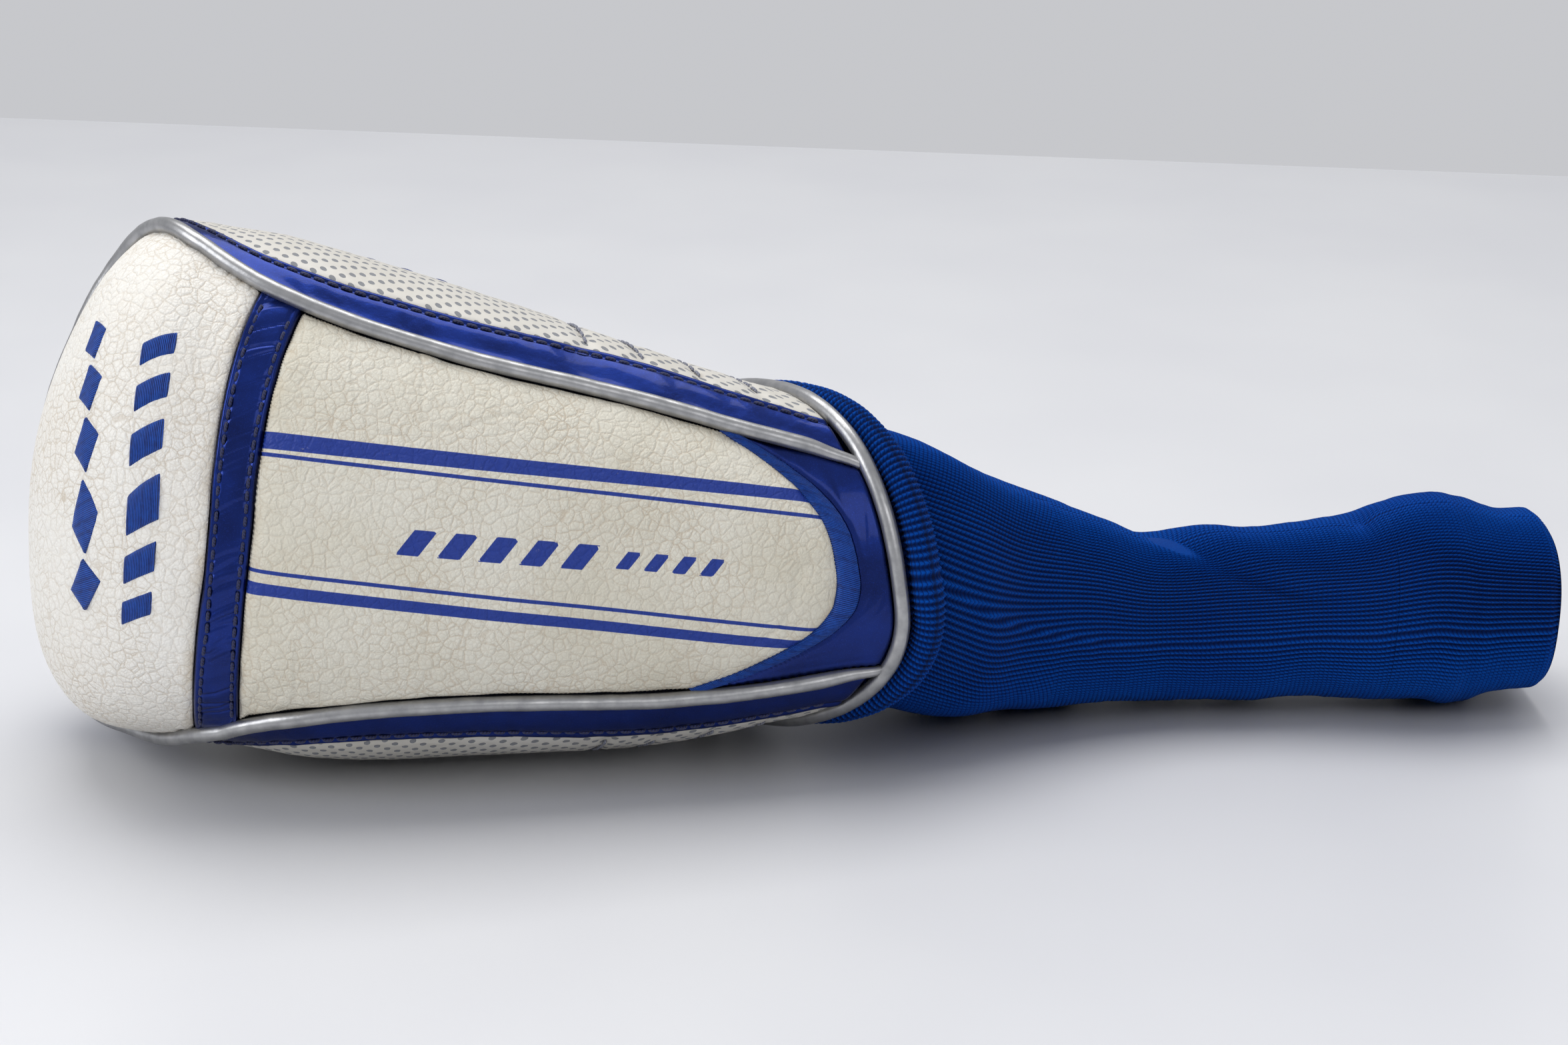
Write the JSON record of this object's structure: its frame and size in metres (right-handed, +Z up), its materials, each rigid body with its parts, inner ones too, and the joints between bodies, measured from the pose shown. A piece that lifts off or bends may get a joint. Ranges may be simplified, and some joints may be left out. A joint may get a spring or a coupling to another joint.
{
  "type": "driver head cover",
  "caption": "Padded leather head cover for a golf driver: domed toe, piped crown panel, blue gusset, perforated sole and a long ribbed knit sock, lying on its side.",
  "frame": {"origin": "middle of the cover's footprint on the surface that it lies on", "axes": "+Z up, +X along the cover from its toe to the sock's cuff, and the crown panel faces -Y and leans back a little"},
  "size_m": [0.3514, 0.0956, 0.1198],
  "materials": {
    "white_leather": "pebbled off-white artificial leather, padded, creased and lightly soiled",
    "perforated_leather": "smooth off-white artificial leather with staggered round perforations",
    "patent_blue": "metallic blue patent artificial leather, glossy with fine wrinkles",
    "silver_piping": "satin silver vinyl piping",
    "embroidery": "satin-stitched blue thread",
    "thread": "dark navy sewing thread",
    "knit": "ribbed blue acrylic knit",
    "elastic": "elastic covered in blue yarn",
    "filler_cord": "extruded plastic piping filler",
    "foam": "open-cell foam padding",
    "fleece": "brushed fleece lining"
  },
  "bodies": {
    "shell": {"crown_toe_panel": "white_leather", "crown_main_panel": "white_leather", "cross_band": "patent_blue", "cross_band_threads": "thread", "embroidered_border": "embroidery", "throat_panel": "patent_blue", "toe_embroidery": "embroidery", "sole_embroidery": "embroidery", "crown_piping": "silver_piping", "crown_piping_cord": "filler_cord", "mouth_piping": "silver_piping", "mouth_piping_cord": "filler_cord", "upper_gusset_band": "patent_blue", "lower_gusset_band": "patent_blue", "gusset_threads": "thread", "sole_panel": "perforated_leather", "gather_elastics": "elastic", "gather_threads": "thread", "toe_foam": "foam", "crown_foam": "foam", "sole_foam": "foam", "fleece_lining": "fleece", "knit_collar": "knit", "collar_elastic": "elastic", "sock_neck": "knit"},
    "sock": {"sock_body": "knit"},
    "cuff": {"sock_cuff": "knit", "cuff_elastic": "elastic"}
  },
  "joints": [
    {"name": "neck_swing", "type": "hinge", "parent": "shell", "child": "sock", "pos_m": [0.0327, 0.0052, 0.032], "axis": [0, 0, 1], "range_deg": [-40, 40], "deforming": ["sock_neck"]},
    {"name": "sock_gather", "type": "slide", "parent": "sock", "child": "cuff", "axis": [-1, 0, 0], "range_m": [0, 0.05], "deforming": ["sock_body"]}
  ]
}
